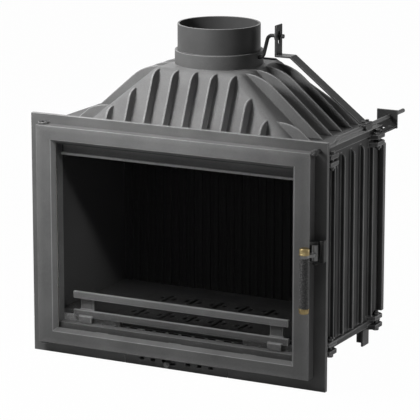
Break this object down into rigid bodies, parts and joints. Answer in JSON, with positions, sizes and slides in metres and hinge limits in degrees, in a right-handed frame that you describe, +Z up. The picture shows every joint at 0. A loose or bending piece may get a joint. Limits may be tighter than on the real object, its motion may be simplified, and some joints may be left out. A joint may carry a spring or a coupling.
{
  "type": "fireplace insert",
  "caption": "Cast iron fireplace insert with a hinged glass door, ribbed smoke hood, round flue spigot and a damper worked by a pull rod.",
  "frame": {"origin": "centre of the bounding box at the height of the front frame's lower edge", "axes": "+Z up, -Y towards the room, so the door faces -Y, and +X to the right as seen from the room"},
  "size_m": [0.71, 0.4914, 0.73],
  "materials": {
    "painted_iron": "satin heat-resistant paint on cast iron",
    "lining_iron": "matt black painted cast iron",
    "painted_steel": "matt heat-resistant paint on steel",
    "bolt_steel": "blackened steel fasteners",
    "ceramic_glass": "clear ceramic glass",
    "glass_rope": "woven glass fibre rope",
    "plated_steel": "dull plated cast steel",
    "grip_composite": "mottled dark heat-proof grip",
    "brass_cap": "aged turned brass"
  },
  "bodies": {
    "stove": {"front_frame": "painted_iron", "base_plate": "painted_iron", "top_plate": "painted_iron", "side_wall_left": "painted_iron", "side_wall_right": "painted_iron", "back_wall": "painted_iron", "hood": "painted_iron", "flue_collar": "painted_iron", "flue_spigot": "painted_iron", "side_lining_left": "lining_iron", "side_lining_right": "lining_iron", "back_lining": "lining_iron", "hearth_plate": "lining_iron", "baffle_plate": "lining_iron", "air_wash_bar": "lining_iron", "feet": "painted_iron", "corner_bolts": "bolt_steel", "corner_nuts": "bolt_steel", "frame_bolts": "bolt_steel", "hood_bolts": "bolt_steel", "ash_box": "painted_steel", "ash_pan": "painted_steel", "air_duct": "painted_steel", "air_panel": "painted_iron", "hinge_lugs": "painted_iron", "latch_keeper": "painted_iron", "rod_bracket": "painted_steel"},
    "grate_body": {"grate": "lining_iron"},
    "guard_body": {"log_guard": "painted_iron"},
    "door": {"door_frame": "painted_iron", "door_glass": "ceramic_glass", "glass_seal": "glass_rope", "door_seal": "glass_rope", "glass_clips": "painted_steel", "clip_screws": "bolt_steel", "hinge_pins": "bolt_steel", "latch_bracket": "painted_iron", "latch_pin": "bolt_steel"},
    "handle": {"latch_arm": "plated_steel", "grip_core": "plated_steel", "grip_sleeve": "grip_composite", "grip_cap_top": "brass_cap", "grip_cap_bottom": "brass_cap"},
    "air_control": {"air_slider": "painted_steel", "air_knob": "painted_iron"},
    "rod": {"damper_rod": "painted_steel", "damper_knob": "painted_iron", "yoke_strip": "painted_steel", "yoke_clamp": "painted_steel", "clamp_screws": "bolt_steel"},
    "damper": {"damper_shaft": "painted_steel", "damper_plate": "painted_steel", "damper_screws": "bolt_steel", "crank_washer": "bolt_steel"}
  },
  "joints": [
    {"name": "door_hinge", "type": "hinge", "parent": "stove", "child": "door", "pos_m": [-0.318, -0.19925, 0.271], "axis": [0, 0, -1], "range_deg": [0, 110]},
    {"name": "latch_turn", "type": "hinge", "parent": "door", "child": "handle", "pos_m": [0.337, -0.20225, 0.305], "axis": [0, 0, 1], "range_deg": [-18, 35]},
    {"name": "air_slide", "type": "slide", "parent": "stove", "child": "air_control", "axis": [1, 0, 0], "range_m": [0, 0.014]},
    {"name": "rod_slide", "type": "slide", "parent": "stove", "child": "rod", "axis": [0, 1, 0], "range_m": [-0.0594, 0.0074]},
    {"name": "damper_turn", "type": "hinge", "parent": "stove", "child": "damper", "pos_m": [0, 0.01775, 0.66], "axis": [-1, 0, 0], "range_deg": [-70, 9]},
    {"name": "grate_lift", "type": "slide", "parent": "stove", "child": "grate_body", "axis": [0, 0, 1], "range_m": [0, 0.06]},
    {"name": "guard_lift", "type": "slide", "parent": "stove", "child": "guard_body", "axis": [0, 0, 1], "range_m": [0, 0.08]}
  ],
  "couplings": [
    {"joint": "damper_turn", "follows": "rod_slide", "rad_per_m": 20.4}
  ]
}
